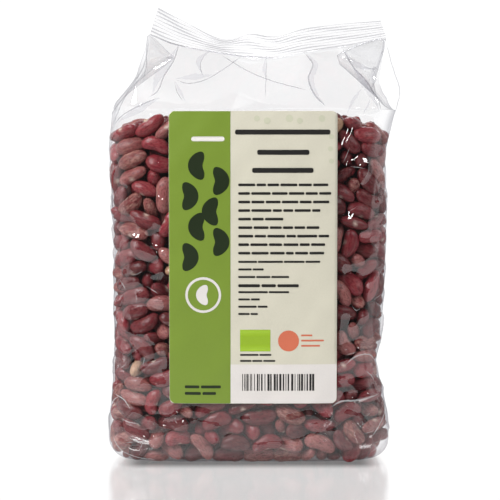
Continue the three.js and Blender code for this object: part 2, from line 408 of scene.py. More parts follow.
def add_ramp(tree, value, start, end, low, high, unit_size=1.0, kind="LINEAR"):
    """A value turned into low at the start and high at the end, and held there beyond them."""
    node = add_node(tree, "ShaderNodeMapRange", Value=value, To_Min=low, To_Max=high)
    node.inputs["From Min"].default_value = start * unit_size
    node.inputs["From Max"].default_value = end * unit_size
    node.interpolation_type = kind
    return node.outputs[0]


def add_noise(tree, place, scale, detail, roughness=0.5):
    noise = add_node(tree, "ShaderNodeTexNoise", Vector=place, Scale=scale, Detail=detail)
    noise.inputs["Roughness"].default_value = roughness
    return noise.outputs["Fac"]


def object_place(tree):
    return add_node(tree, "ShaderNodeTexCoord").outputs["Object"]


def mix_shaders(tree, share, first, second):
    node = add_node(tree, "ShaderNodeMixShader", Fac=share)
    tree.links.new(first.outputs[0], node.inputs[1])
    tree.links.new(second.outputs[0], node.inputs[2])
    return node


def finish_material(tree, shader):
    output = tree.nodes.new("ShaderNodeOutputMaterial")
    tree.links.new(shader.outputs[0], output.inputs["Surface"])


def clear_film_material(name, mirror, haze, foot_reflection, gloss_roughness):
    """Thin clear film: the flatter it is seen, the more it mirrors and the less it lets through. Near the
    foot it is whiter, a painted reflection of the floor.
    """
    material, tree = new_material(name)
    facing = add_node(tree, "ShaderNodeLayerWeight", Blend=0.5).outputs["Facing"]
    mirrored = add_math(tree, "MULTIPLY_ADD", add_math(tree, "POWER", facing, 5.0), GRAZING_MIRROR, mirror)
    tint = add_mix(tree, add_math(tree, "POWER", facing, 2.5), FACE_TINT, EDGE_TINT)
    clear = add_node(tree, "ShaderNodeBsdfTransparent", Color=tint)
    gloss = add_node(tree, "ShaderNodeBsdfGlossy", Color=(1, 1, 1, 1), Roughness=gloss_roughness)
    milk_and_painted_light = add_node(tree, "ShaderNodeBsdfDiffuse", Color=FILM_MILK_AND_REFLECTION)
    height = add_node(tree, "ShaderNodeSeparateXYZ", Vector=object_place(tree)).outputs["Z"]
    # Painted reflection of the floor: the film is whiter to look through near the foot
    haze_and_reflection = add_ramp(tree, height, *FOOT_REFLECTION_TOP, foot_reflection, haze, MM)
    finish_material(tree, mix_shaders(tree, mirrored, mix_shaders(tree, haze_and_reflection, clear, milk_and_painted_light), gloss))
    return material


def bean_material(name, dark, light, mottle, bump):
    """Bean skin: each bean has its own tone, pale clouds, dark veins and a pale scar."""
    material, tree = new_material(name)
    found = {}
    for key in ("tone", "scar", "grain"):
        found[key] = add_node(tree, "ShaderNodeAttribute")
        found[key].attribute_name = key
    place = found["grain"].outputs["Vector"]
    base = add_mix(tree, found["tone"].outputs["Fac"], (*dark, 1), (*light, 1))
    cloud = add_ramp(tree, add_noise(tree, place, 0.55, 5.0, 0.65), 0.42, 0.72, 0.0, mottle)
    patchy = add_mix(tree, cloud, base, (*PALE_SKIN, 1))
    veins = add_noise(tree, place, 1.6, 3.0, 0.6)
    vein = add_ramp(tree, veins, 0.38, 0.5, 0.6, 0.0)
    veined = add_mix(tree, vein, patchy, (*[0.35 * c for c in dark], 1))
    coloured = add_mix(tree, found["scar"].outputs["Fac"], veined, (*SCAR, 1))
    bumped = add_node(tree, "ShaderNodeBump", Strength=bump, Distance=0.0005, Height=veins)
    skin = add_node(tree, "ShaderNodeBsdfPrincipled", Base_Color=coloured, Normal=bumped.outputs["Normal"])
    skin.inputs["Roughness"].default_value = 0.2
    skin.inputs["Specular IOR Level"].default_value = 0.28
    finish_material(tree, skin)
    return material


def paper_material(name, colour):
    """Coated paper or ink: a faint fibre in the colour and the surface."""
    material, tree = new_material(name)
    place = object_place(tree)
    fibre = add_noise(tree, place, 1400.0, 4.0, 0.7)
    strength = add_math(tree, "MULTIPLY", fibre, add_noise(tree, place, 45.0, 2.0))
    tinted = add_mix(tree, strength, (*colour, 1), (*[0.74 * c for c in colour], 1))
    bumped = add_node(tree, "ShaderNodeBump", Strength=0.05, Distance=0.0001, Height=fibre)
    paper = add_node(tree, "ShaderNodeBsdfPrincipled", Base_Color=tinted, Normal=bumped.outputs["Normal"])
    paper.inputs["Roughness"].default_value = PAPER_ROUGHNESS
    finish_material(tree, paper)
    return material


# Beans

PALE_SKIN = (0.46, 0.25, 0.20)
SCAR = (0.62, 0.5, 0.42)
BEAN_KINDS = {
    # name: share of the beans, dark and light colour, how mottled and how wrinkled the skin is
    "beans_dark": (0.46, (0.084, 0.007, 0.010), (0.176, 0.020, 0.027), 0.15, 0.5),
    "beans_red": (0.26, (0.165, 0.012, 0.020), (0.260, 0.031, 0.041), 0.18, 0.45),
    "beans_pink": (0.18, (0.195, 0.045, 0.045), (0.305, 0.096, 0.092), 0.40, 0.6),
    "beans_wrinkled": (0.09, (0.155, 0.026, 0.026), (0.250, 0.062, 0.059), 0.85, 1.0),
    "beans_tan": (0.01, (0.420, 0.230, 0.130), (0.560, 0.420, 0.300), 0.20, 0.2),
}


def heap_top(x, y):
    bumps = 1.6 * np.sin(0.21 * x + 1.3) * np.cos(0.19 * y + 0.4) + 1.0 * np.sin(0.37 * x - 0.33 * y)
    return HEAP_TOP - HEAP_SLOPE * np.abs(x / 73.0) ** 6 + bumps


def keep_inside(balls, size):
    """Moves the balls that poke through the film, the base or the heap's top back inside."""
    x, y, z = balls[..., 0], balls[..., 1], balls[..., 2]
    radius = WALL_RADIUS * size[:, None]
    z = np.clip(z, radius * 0.94, heap_top(x, y) - 0.9 * radius)
    width, thick = sides(x, y, z, radius)
    q = ((np.abs(x) / width) ** CORNER_POWER + (np.abs(y) / thick) ** CORNER_POWER) ** (1 / CORNER_POWER)
    q = np.maximum(q, 1e-6)
    gx = np.sign(x) * np.abs(x) ** (CORNER_POWER - 1) / width**CORNER_POWER / q**3
    gy = np.sign(y) * np.abs(y) ** (CORNER_POWER - 1) / thick**CORNER_POWER / q**3
    back = np.where(q > 1, (q - 1) / np.maximum(gx**2 + gy**2, 1e-9), 0)
    return np.stack([x - back * gx, y - back * gy, z], axis=-1)


def pack_beans():
    """Places, directions and sizes of beans that fill the bag without pushing into each other."""
    width = REACH[:, 1:3].mean() * 2
    thick = REACH[:, 3:].mean() * 2
    count = int(PACKING * 0.93 * width * thick * (HEAP_TOP - 3) / BEAN_VOLUME)
    size = np.clip(rng.normal(1.0, SIZE_SPREAD, count), *SIZE_LIMITS)
    place = rng.uniform(-1, 1, (count, 3)) * (0.46 * width, 0.42 * thick, HEAP_TOP / 2)
    place[:, 2] += HEAP_TOP / 2
    lean = unit(rng.normal(0, 1, (count, 3)) * LIE)
    offsets = np.array([-1.0, 0.0, 1.0])
    for step in range(PACKING_STEPS):
        if step % NEIGHBOUR_STEPS == 0:
            gap = np.linalg.norm(place[:, None] - place[None], axis=2)
            first, second = np.nonzero(np.triu(gap < NEIGHBOUR_REACH, 1))
        balls = place[:, None] + lean[:, None] * (offsets[None, :, None] * ROD_HALF * size[:, None, None])
        apart = balls[first][:, :, None] - balls[second][:, None]
        distance = np.maximum(np.linalg.norm(apart, axis=-1), 1e-4)
        wanted = BALL_RADIUS * (size[first] + size[second])[:, None, None]
        push = np.clip(wanted - distance, 0, PUSH_LIMIT)[..., None] * apart / distance[..., None] * 0.5
        moved = np.zeros_like(balls)
        hits = np.ones(balls.shape[:2])
        for k in range(3):
            for bean, force in ((first, push[:, k]), (second, -push[:, :, k])):
                for axis in range(3):
                    moved[:, k, axis] += np.bincount(bean, force[..., axis].sum(1), count)
                hits[:, k] += np.bincount(bean, (force != 0).any(-1).sum(1), count) * HIT_WEIGHT
        balls = keep_inside(balls + PUSH_SHARE * moved / hits[..., None], size)
        place = balls.mean(axis=1)
        lean = unit(balls[:, 2] - balls[:, 0])
    return place, lean, size


def bean_form(around, along, bend, fuller, phase):
    """Points, quads and scar strength of one bean, lying along X and bent towards +Y."""
    t = -np.cos(np.linspace(0.0, math.pi, along))
    angle = np.linspace(0, 2 * math.pi, around, endpoint=False)
    t, angle = t[:, None], angle[None]
    thin = (1 - np.abs(t) ** 2.25) ** (1 / 2.1)
    side, up = np.cos(angle), np.sin(angle)
    lumps = 0.03 * np.sin(2 * angle + phase + 2.2 * t) + 0.025 * np.sin(4 * t + 2 * phase)
    radius = thin * (1 + fuller * t + lumps)
    dent = 0.5 * bend * np.exp(-((t / 0.3) ** 2)) * np.clip(side, 0, 1) ** 2
    x = BEAN_LENGTH / 2 * t + 0 * side
    y = BEAN_WIDTH / 2 * radius * side + bend * (t**2 - 0.45) - dent
    z = BEAN_THICKNESS / 2 * radius * up * (1 - 0.1 * np.abs(up))
    from_scar = np.minimum(angle, 2 * math.pi - angle)
    scar = np.exp(-((t / 0.13) ** 2) - from_scar**2 / 0.09)
    points = np.stack([x, y, z], axis=-1).reshape(-1, 3)
    return points, grid_faces(along, around, closed=True), scar.reshape(-1)


def turn_frames(lean, outward, roll):
    """For each bean, its length, side and upper directions, rolled about its length."""
    flat = unit(outward - (outward * lean).sum(1, keepdims=True) * lean)
    side = np.cross(flat, lean)
    c, s = np.cos(roll)[:, None], np.sin(roll)[:, None]
    return lean, side * c + flat * s, flat * c - side * s


def build_beans():
    place, lean, size = pack_beans()
    _, depth = share_and_depth(place)
    below_top = heap_top(place[:, 0], place[:, 1]) - place[:, 2]
    nearest = np.minimum(depth, np.minimum(below_top, place[:, 2]))
    seen = nearest < SHELL_DEPTH
    place, lean, size, depth = place[seen], lean[seen], size[seen], depth[seen]
    nearest, below_top = nearest[seen], below_top[seen]
    count = len(place)
    wall = outward_from(place)
    outward = np.where((below_top < depth)[:, None], (0.0, 0.0, 1.0), wall)
    roll = np.where(rng.random(count) < 0.8, rng.normal(0, 0.3, count), rng.uniform(0, 6.28, count))
    roll += math.pi * (rng.random(count) < 0.5)
    along, side, up = turn_frames(lean, outward, roll)
    squash = rng.normal(1, 0.05, (count, 3)).clip(0.88, 1.1)
    tone = rng.random(count)
    draw = rng.random(count)
    offset = rng.uniform(-500, 500, (count, 3))
    bend = rng.uniform(0.2, 1.8, count)
    fuller = rng.normal(0, 0.07, count)
    all_points = []
    start = 0.0
    for name, (share, dark, light, mottle, bump) in BEAN_KINDS.items():
        picked = np.nonzero((draw >= start) & (draw < start + share))[0]
        start += share
        beans, tones, scars, grains = [], [], [], []
        for i in picked:
            near = nearest[i] < NEAR_DEPTH
            detail = FINE_MESH if near else COARSE_MESH
            local, quads, scar = bean_form(*detail, bend[i], fuller[i], 6.3 * tone[i])
            local = local * size[i] * squash[i]
            world = place[i] + local @ np.stack([along[i], side[i], up[i]])
            if near:
                _, film_depth = share_and_depth(world)
                world -= wall[i] * max(0, BEAN_CLEARANCE - film_depth.min())
            world[:, 2] += max(0, BASE_CLEARANCE - world[:, 2].min())
            beans.append((world, quads))
            tones.append(np.full(len(world), tone[i]))
            scars.append(scar)
            grains.append(local * (0.35, 1, 1) + offset[i])
        points, faces = joined(beans)
        all_points.append(points)
        piece = make_object(name, points, faces, bean_material(name, dark, light, mottle, bump))
        for key, values in (("tone", tones), ("scar", scars)):
            attribute = piece.data.attributes.new(key, "FLOAT", "POINT")
            attribute.data.foreach_set("value", np.concatenate(values).astype(np.float32))
        attribute = piece.data.attributes.new("grain", "FLOAT_VECTOR", "POINT")
        attribute.data.foreach_set("vector", np.concatenate(grains).astype(np.float32).ravel())
        dress(piece, "bag")
    return np.concatenate(all_points)


def outward_from(points):
    """Level directions out through the nearest film."""
    width, thick = sides(*points.T)
    return unit(np.stack([points[:, 0] ** 3 / width**4, points[:, 1] ** 3 / thick**4, 0 * width], axis=-1))


def dress(piece, node):
    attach(piece, "root")
    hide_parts(node)


def build_core():
    """Dark heap inside the beans that are seen, so that no light shows between them: painted shade, darker
    than the beans, for the shadow deep between them.
    """
    share = np.linspace(0, 1, CORE_COLUMNS, endpoint=False)
    levels = np.linspace(CORE_INSET, HEAP_TOP - CORE_INSET - 4, CORE_ROWS)
    inset = CORE_INSET + CORE_RIPPLE * np.sin(levels / 7.0)[:, None] * np.sin(share * 75.0)[None]
    points = wall_point(share[None] + 0 * inset, levels[:, None] + 0 * inset, inset)
    points[[0, -1], :, 1] = 0.0  # its lower and upper ends are ridges
    material, tree = new_material("core")
    cloud = add_noise(tree, object_place(tree), 160.0, 3.0)
    colour = add_mix(tree, cloud, CORE_SHADE_DEEP, CORE_SHADE_PALE)
    finish_material(tree, add_node(tree, "ShaderNodeBsdfPrincipled", Base_Color=colour, Roughness=0.7))
    faces = grid_faces(len(levels), len(share), closed=True)
    dress(make_object("bean_core_shade", points, faces, material), "bag")


# Film

def spread(values, radius, axis, sign):
    """One pass of the film's stretch along an axis: sign 1 lifts it over what is near, -1 lets it back."""
    reach = int(STRETCH_REACH / FILM_STEP)
    best = values.copy()
    for shift in range(-reach, reach + 1):
        arch = (shift * FILM_STEP) ** 2 / (2 * radius)
        moved = np.roll(values, shift, axis=axis)
        if axis == 0 and shift > 0:
            moved[:shift] = values[:1]
        if axis == 0 and shift < 0:
            moved[shift:] = values[-1:]
        best = np.maximum(best, moved - arch) if sign > 0 else np.minimum(best, moved + arch)
    return best


def stretched(height, radius):
    """Film that is tight over the heights and bends inwards between them no more than the radius."""
    for sign in (1, -1):
        for axis in (0, 1):
            height = spread(height, radius, axis, sign)
    return soften(height)


def loose_patches(s, z):
    """Flat patches where the film stands off the beans: 1 inside them, and how far each leans out."""
    nearest = np.full(s.shape, 1e9)
    loose = np.zeros(s.shape)
    lean = np.zeros(s.shape)
    for _ in range(PATCHES):
        ds = s - rng.uniform(0, WALK_LENGTH)
        up = rng.uniform(0, BODY_TOP)
        turn = rng.normal(0.2, 0.45)
        along = ds * math.cos(turn) + (z - up) * math.sin(turn)
        across = (z - up) * math.cos(turn) - ds * math.sin(turn)
        gap = np.hypot(along / PATCH_STRETCH, across)
        mine = gap < nearest
        nearest[mine] = gap[mine]
        loose[mine] = rng.random() < LOOSE_SHARE * (1 - up / (1.3 * BODY_TOP))
        lean[mine] = (rng.uniform(0, PATCH_LEAN) * (across + 3.0))[mine]
    return loose, loose * lean


def crease_lift(x, z, creases):
    """How far creases lift the film at x and z: each is a line with a height and a width."""
    lift = np.zeros(x.shape)
    for points, height, width in creases:
        nearest = np.full(x.shape, 1e9)
        for (x0, z0), (x1, z1) in zip(points, points[1:]):
            dx, dz = x1 - x0, z1 - z0
            t = np.clip(((x - x0) * dx + (z - z0) * dz) / (dx**2 + dz**2), 0, 1)
            nearest = np.minimum(nearest, np.hypot(x - x0 - t * dx, z - z0 - t * dz))
        lift += height * np.clip(1 - nearest / width, 0, 1) ** 1.4
    return lift


def random_creases(count, across, up, length, height, width, slant):
    """Short straight creases spread over an area, mostly near one slant."""
    creases = []
    for _ in range(count):
        x, z = rng.uniform(*across), rng.uniform(*up)
        angle = slant + rng.normal(0, 0.5)
        half = rng.uniform(*length) / 2
        step = np.array([math.cos(angle), math.sin(angle)]) * half
        tall = rng.uniform(*height) * rng.choice([-1, 1])
        creases.append(([(x - step[0], z - step[1]), (x + step[0], z + step[1])], tall, rng.uniform(*width)))
    return creases


# Creases of the empty film as x and z along each, then its height and width
FRONT_CREASES = [
    ([(-4.6, 212), (-14.8, 204.5), (-26.6, 198), (-40.6, 197), (-36.3, 187)], 1.6, 5.0),
    ([(-8.4, 206.6), (8.6, 200), (29.3, 194)], 1.5, 6.0),
    ([(9.7, 212), (9.2, 200), (9.0, 188)], 1.2, 4.0),
    ([(28, 214), (33, 208), (30.7, 201.5), (33, 192), (39, 185.5)], 1.8, 5.0),
    ([(48.8, 216.4), (54.6, 205.9), (67.7, 183)], 2.2, 4.0),
    ([(56, 206.4), (66.5, 206.4)], 0.9, 3.0),
    ([(-53.5, 224), (-53.5, 200)], 0.8, 3.0),
    ([(-38.8, 219), (-45.7, 197.6), (-55, 190), (-66, 183)], 1.8, 5.0),
]

# Sharp folds, drawn as darker strips of painted shade: x and z along each, then the strip's width
SHARP_FOLDS = [
    ([(-52.5, 222), (-55.5, 206), (-61, 197), (-71.5, 176)], 0.5),
    ([(-37.0, 219), (-39.5, 210), (-44.5, 201), (-48, 193), (-52, 190.5)], 0.6),
    ([(-53.5, 222), (-53.8, 212), (-53.5, 203)], 0.3),
    ([(-46.5, 190.5), (-56, 186.5), (-66, 181.0), (-71, 176)], 0.5),
    ([(-4.6, 212), (-14.8, 204.5), (-23.6, 199.4), (-33, 197.8), (-38, 199.5)], 0.45),
    ([(-14.5, 212.4), (0.0, 203.6), (11.4, 199.0), (29.0, 194.3)], 0.45),
    ([(-23.3, 213.9), (-25.9, 206.7), (-23.8, 200.5)], 0.4),
    ([(-38.9, 198.5), (-36.8, 192.3), (-33.7, 188.1)], 0.4),
    ([(8.8, 210.8), (8.3, 201.6), (7.8, 190.2)], 0.3),
    ([(28, 214), (32.5, 207.5), (30.1, 200.5), (32.2, 193.3), (38.4, 186.1)], 0.7),
    ([(48.4, 216), (54, 205.9), (59.6, 200), (65.0, 191.5), (67.4, 183.5)], 0.6),
    ([(57, 206.6), (61, 205.6), (65.5, 204.9)], 0.4),
    ([(63.2, 206.7), (65.3, 200.5), (62.2, 194.3)], 0.3),
    ([(71.5, 219), (74, 207), (77.4, 190.5), (75.5, 181)], 0.5),
]

# Broad grey bands of painted shade where the empty film lies double: x and z along each, then the strip's
# width
BROAD_FOLDS = [
    ([(-37.8, 217.0), (-42.5, 208.8), (-47.6, 200.5), (-50.0, 191.8)], 6.0),
    ([(-46.3, 190.2), (-57.1, 184.6), (-68.1, 178.0)], 4.4),
    ([(-38.3, 200.2), (-28.5, 201.2), (-18.7, 202.0)], 3.6),
    ([(-38.5, 198.5), (-35.8, 193.3), (-33.0, 188.5)], 3.0),
    ([(52.9, 207.7), (57.8, 199.5), (63.0, 191.2), (66.6, 183.5)], 4.0),
    ([(53.9, 205.7), (58.0, 200.5), (62.5, 193.2)], 2.4),
    ([(48.6, 216.0), (52.3, 209.8), (58.0, 206.4), (65.3, 205.0)], 2.8),
    ([(49.8, 182.5), (52.9, 189.2), (57.6, 195.4)], 1.8),
    ([(57.6, 181.9), (60.2, 186.1), (61.7, 190.2)], 1.6),
    ([(29.0, 213.9), (34.0, 206.7), (31.4, 200.5), (33.0, 193.3), (38.4, 186.1)], 2.6),
    ([(8.8, 212.8), (7.4, 205.6), (8.6, 198.5)], 1.6),
    ([(-20, 216), (-27, 209), (-24.5, 202)], 2.4),
]

# Folds of the film near the base, in front: x and z along each, then its height and width
BASE_FOLDS = [
    ([(-38, 27.5), (-30, 30), (-21, 27.5)], 1.1, 2.6),
    ([(-72, 24), (-64, 17), (-52, 13.5), (-44, 16), (-33, 22)], 1.3, 3.4),
    ([(-70, 12), (-60, 8), (-48, 9.5)], 1.0, 2.8),
    ([(20, 24), (30, 27.5), (41, 23.5)], 1.1, 2.8),
    ([(44, 33), (56, 35), (69, 37.5)], 0.9, 2.4),
    ([(50, 27), (57, 25), (64, 16)], 0.9, 2.6),
    ([(-6, 9), (14, 12), (36, 8.5)], 0.6, 3.0),
    ([(-64, 6.5), (-40, 5), (-12, 6.5)], 0.6, 2.5),
]

# Bright creases near the base, in front, as painted highlights: x and z along each, then the strip's width
BRIGHT_CREASES = [
    ([(-68, 96.5), (-66, 94), (-64, 91)], 0.5),
    ([(-71, 36), (-66, 34), (-62, 29)], 0.6),
    ([(-73.5, 28.5), (-71, 33), (-67.5, 35.5)], 0.4),
    ([(-72, 14), (-68, 7.5), (-60, 3.5), (-48, 2)], 0.5),
    ([(-68, 24.5), (-63, 22.5), (-57, 22)], 0.4),
    ([(41.5, 31), (45.5, 33.5), (57.5, 34.5), (67.5, 36.5)], 0.8),
    ([(70, 30.5), (70.5, 26), (67.5, 20), (63.5, 14.5)], 0.6),
    ([(69, 14), (66.5, 8.5), (63, 5.5)], 0.5),
    ([(49, 53), (55.5, 57.5), (62.5, 57), (65.5, 53.5)], 0.7),
    ([(59.5, 49.5), (63, 46.5), (65, 43)], 0.5),
    ([(52.5, 83.5), (55, 81), (57.5, 82)], 0.4),
]


def header_point(x, y, share):
    """Points of the empty film: share is 0 at the body's top and 1 at the seal."""
    panel = np.abs(y)
    tuck = GUSSET_TUCK * np.minimum(1, NOTCH_CLOSING * (1 - share))
    inwards = tuck * (1 - panel**2)
    edge = edge_curve(SEAL_LOWER_EDGE, np.linspace(0, 1, 60))
    length = np.linalg.norm(np.diff(edge, axis=0), axis=1).sum()
    along = np.clip((x + 1) / 2 - np.sign(x) * np.abs(x) ** 4 * inwards / length, 0, 1)
    end = edge_curve(SEAL_LOWER_EDGE, along)
    end[..., 1] += y * FILM_HALF_GAP
    start = body_point(x, y, np.full_like(x, BODY_TOP), 0.0)
    lean = share[..., None] ** np.array([1.12, 1.3, 1.0])
    point = start + (end - start) * lean
    ear = np.maximum(0, 1 - np.abs(share - EAR_SHARE) / EAR_SHARE)
    point[..., 0] += EAR_REACH * ear * panel * np.maximum(0, x) ** 6
    return point


def facets(u, v, box, spacing, slope):
    """Heights of a crumpled sheet: smooth cells with straight creases between them."""
    height = np.full(u.shape, -1e9)
    round_off = 0.35 * slope / spacing
    for u0 in np.arange(box[0], box[1], spacing):
        for v0 in np.arange(box[2], box[3], spacing):
            du = u - u0 - rng.uniform(0, spacing)
            dv = v - v0 - rng.uniform(0, spacing)
            lean = rng.normal(0, slope, 2)
            height = np.maximum(height, lean[0] * du + lean[1] * dv - round_off * (du**2 + dv**2))
    return height - height.mean()


def surface_normals(grid):
    """Outward directions of a grid of points that is closed sideways."""
    across = np.roll(grid, -1, axis=1) - np.roll(grid, 1, axis=1)
    return unit(np.cross(across, np.gradient(grid, axis=0)))


def build_body_film(bean_points, material):
    """The tight film, from the base up over the beans. Gives its points, for the creases in it."""
    columns = int(WALK_LENGTH / FILM_STEP)
    rows = int(BODY_TOP / FILM_STEP) + 1
    share = np.arange(columns) / columns
    z = np.linspace(0, BODY_TOP, rows)
    near_share, near_depth = share_and_depth(bean_points)
    height = np.full((rows, columns), -9.0)
    r = np.clip(np.round(bean_points[:, 2] / z[1]).astype(int), 0, rows - 1)
    c = np.round(near_share * columns).astype(int) % columns
    np.maximum.at(height, (r, c), -near_depth)
    height[-1] = 0.0
    height[0] = FOOT_INSET
    s_mm = share[None] * WALK_LENGTH + 0 * height
    z_mm = z[:, None] + 0 * height
    tight = stretched(height, FILM_SPAN_RADIUS)
    flat = stretched(height, FLAT_SPAN_RADIUS)
    flatness = np.clip((FLAT_FILM_TOP - z_mm) / 8, 0, 1)
    loose, lean = loose_patches(s_mm, z_mm)
    height = soften(tight + (flat - tight) * np.maximum(flatness, loose) + lean.clip(0, 1.2))
    height[0] = FOOT_INSET
    round_bag = (0, WALK_LENGTH)
    creases = random_creases(120, round_bag, (8, 178), (8, 34), (0.15, 0.5), (1.8, 4.5), 1.3)
    creases += random_creases(16, round_bag, (6, 34), (12, 30), (0.3, 0.7), (2.0, 4.0), 0.35)
    around = share[None] + 0 * height
    wall = wall_point(around, z_mm, 0 * height)
    lift = crease_lift(s_mm, z_mm, creases)
    lift += crease_lift(wall[..., 0], z_mm, BASE_FOLDS) * (wall[..., 1] < 0)
    outset = (height + FILM_LIFT + lift).clip(-8, 1.3)
    outset[-1] = 0.0
    outset *= 1 - label_cover(wall)
    points = wall_point(around, z_mm, -outset)
    base = [wall_point(share, np.full(columns, BASE_LIFT), depth) for depth in (18.0, 12.0, 6.0)]
    base[0][:, 1] = 0.0  # closed in the middle by a ridge
    points = np.concatenate([base, points])
    faces = grid_faces(len(points), columns, closed=True)
    dress(make_object("film_body", points, faces, material), "bag")
    return points.reshape(-1, 3)


def glints(count, across, up, length, film_points, proud):
    """Painted glints: pale ribbons along short creases at random places."""
    creases = random_creases(count, across, up, length, (0, 0), GLINT_WIDTH, GLINT_SLANT)
    return [ribbon(line, width, film_points, proud) for line, _, width in creases]


def build_creases(film_points):
    """Sharp creases in the tight film, drawn as thin pale strips of painted highlight where they would catch
    the light.
    """
    front = film_points[film_points[:, 1] < -15]
    back = film_points[film_points[:, 1] > 15]
    strips = [ribbon(line, width, front) for line, width in BRIGHT_CREASES]
    strips += glints(9, (-71, -46), (9, 105), (4, 10), front, -RIBBON_LIFT)
    strips += glints(9, (49, 69), (9, 165), (4, 10), front, -RIBBON_LIFT)
    strips += glints(24, (-66, 66), (9, 172), (5, 12), back, RIBBON_LIFT)
    # Painted highlight: the creases are pale white strips
    build_strips("film_crease_highlights", strips, (1, 1, 1, 1), 0.32)


def build_empty_film(material):
    """The creased film between the beans and the seal. Gives its points, for the folds on it."""
    columns = int(WALK_LENGTH / EMPTY_FILM_STEP)
    shares = np.linspace(0, 1, int(EMPTY_FILM_HEIGHT / EMPTY_FILM_STEP))
    share = np.arange(columns) / columns
    x, y = direction_at(share)
    longest = np.maximum(np.abs(x), np.abs(y))
    x, y = x / longest, y / longest
    around = 0 * shares[:, None] + np.zeros(columns)
    smooth = header_point(x[None] + around, y[None] + around, shares[:, None] + around)
    normals = surface_normals(smooth)
    u = share[None] * WALK_LENGTH + around
    v = CRUMPLE_SHARE * shares[:, None] * EMPTY_FILM_HEIGHT + around
    box = (-10, WALK_LENGTH + 10, -10, CRUMPLE_SHARE * EMPTY_FILM_HEIGHT + 10)
    crumple = facets(u, v, box, *LARGE_CRUMPLE) - facets(u, v, box, *SMALL_CRUMPLE)
    fade = np.sin(math.pi * shares) ** 0.5
    lift = crumple * fade[:, None]
    on_front = np.maximum(-y, 0)[None] * fade[:, None]
    lift += on_front * crease_lift(smooth[..., 0], smooth[..., 2], FRONT_CREASES)
    film = smooth + normals * np.clip(lift, -3.0, 1.6)[..., None]
    film[0] = smooth[0]
    faces = grid_faces(len(shares), columns, closed=True)
    dress(make_object("film_top", film, faces, material), "bag")
    return film[:, y < -0.2].reshape(-1, 3)


def ribbon(line, width, film_points, proud=-RIBBON_LIFT):
    """Both edges of a narrow strip on the film, along a line in x and z. It tapers at its ends."""
    corners = np.array(line, float)
    steps = np.concatenate([[0], np.cumsum(np.linalg.norm(np.diff(corners, axis=0), axis=1))])
    at = np.arange(0, steps[-1], 0.8)
    flat = smooth_curve(steps, corners, at) + rng.normal(0, 0.06, (len(at), 2))
    ahead = unit(np.gradient(flat, axis=0))
    taper = np.clip(np.minimum(at, steps[-1] - at) / (3.0 + 2.0 * width), 0.1, 1)
    half = width / 2 * taper * rng.uniform(0.8, 1.2, len(at))
    edges = []
    for side in (-1, 1):
        edge = flat + side * half[:, None] * np.stack([-ahead[:, 1], ahead[:, 0]], axis=1)
        gap = np.linalg.norm(film_points[None, :, (0, 2)] - edge[:, None], axis=2)
        depth = film_points[np.argsort(gap, axis=1)[:, :6], 1].mean(axis=1) + proud
        depth = np.convolve(np.pad(depth, 2, mode="edge"), np.full(5, 0.2), mode="valid")
        edges.append(np.stack([edge[:, 0], depth, edge[:, 1]], axis=1))
    return edges


def build_strips(name, strips, tint, milk_and_painted_light):
    """Pairs of edges joined into strips of film that is darker or milkier to look through: painted shade
    along folds, painted highlight along creases.
    """
    parts = [(np.concatenate(edges), grid_faces(2, len(edges[0]))) for edges in strips]
    material, tree = new_material(name)
    clear = add_node(tree, "ShaderNodeBsdfTransparent", Color=tint)
    white = add_node(tree, "ShaderNodeBsdfDiffuse", Color=CREASE_WHITE)
    finish_material(tree, mix_shaders(tree, milk_and_painted_light, clear, white))
    dress(make_object(name, *joined(parts), material), "bag")


def build_folds(film_points):
    """The empty film's sharp folds and broad double bands, and the lines on the seal's ribs, as strips of
    painted shade.
    """
    folds = [ribbon(line, width, film_points) for line, width in SHARP_FOLDS]
    share = np.linspace(0, 1, SEAL_COLUMNS)
    for rib in range(SEAL_RIBS + 1):
        up = (rib + 0.06) / (SEAL_RIBS + 0.2) + 0.008 * np.sin(share * 40 + 2 * rib)
        half = RIB_LINE / SEAL_HEIGHT * (0.6 + 0.4 * np.sin(share * (17 + rib) + rib)).clip(0.25, 1)
        proud = np.full(share.shape, RIB_HEIGHT + RIB_LINE_LIFT)
        folds.append([seal_point(share, up + side * half, proud) for side in (-1, 1)])
    # Painted shade: the folds and the lines on the ribs are darker to look through
    build_strips("film_folds_painted_shade", folds, (0.66, 0.66, 0.68, 1), 0.03)
    bands = [ribbon(line, width, film_points) for line, width in BROAD_FOLDS]
    # Painted shade along the folds, where the film also lies double
    build_strips("film_band_shades", bands, (0.88, 0.88, 0.90, 1), 0.03)


def label_cover(points):
    """1 behind the label, where the film is pressed flat, falling to 0 a little way past its edges."""
    x, y, z = points[..., 0], points[..., 1], points[..., 2]
    beside = np.maximum(LABEL_LEFT - x, x - LABEL_RIGHT)
    beyond = np.maximum(LABEL_BOTTOM - z, z - LABEL_TOP)
    outside = np.hypot(np.maximum(beside, 0), np.maximum(beyond, 0))
    return np.clip(1.2 - outside / 5, 0, 1) * (y < 0)


def seal_point(share, up, lift):
    """Points of the seal at shares of the way along and up it, lifted off its middle to the front."""
    low, high = edge_curve(SEAL_LOWER_EDGE, share), edge_curve(SEAL_UPPER_EDGE, share)
    out = unit(np.cross(np.gradient(low, axis=0), high - low))
    return low + (high - low) * up[..., None] + out * lift[..., None]


